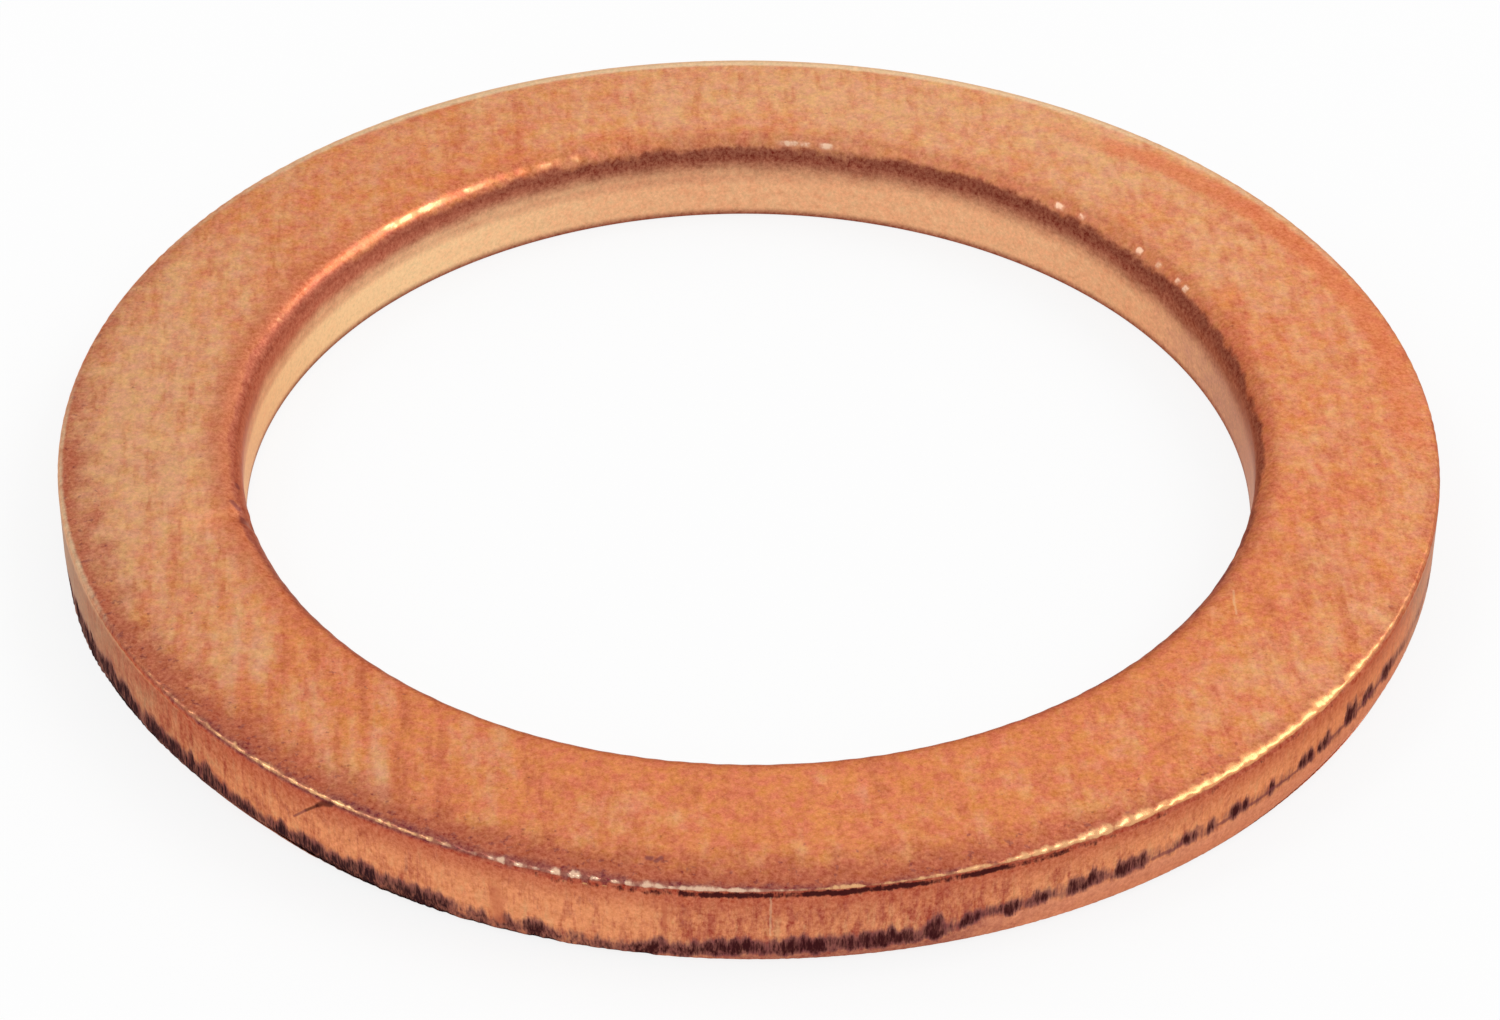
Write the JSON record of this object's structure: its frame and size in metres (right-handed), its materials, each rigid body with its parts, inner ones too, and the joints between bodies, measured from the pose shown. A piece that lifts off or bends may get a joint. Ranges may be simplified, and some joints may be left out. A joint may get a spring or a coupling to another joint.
{
  "type": "copper crush washer",
  "caption": "Flat ring stamped from soft copper sheet, crushed between a bolt head or fitting and its seat to seal the joint.",
  "frame": {"origin": "centre of the bore on the lower sealing face, which the ring rests on", "axes": "+Z along the bore's axis, up through the ring to the face with the rolled edges; X and Y lie in the lower face"},
  "size_m": [0.022, 0.022, 0.0015],
  "materials": {
    "copper": "satin rolled copper on the faces, burnished along the sheared bore and rim, dark where the rim tore"
  },
  "bodies": {
    "root": {"washer": "copper"}
  },
  "joints": []
}
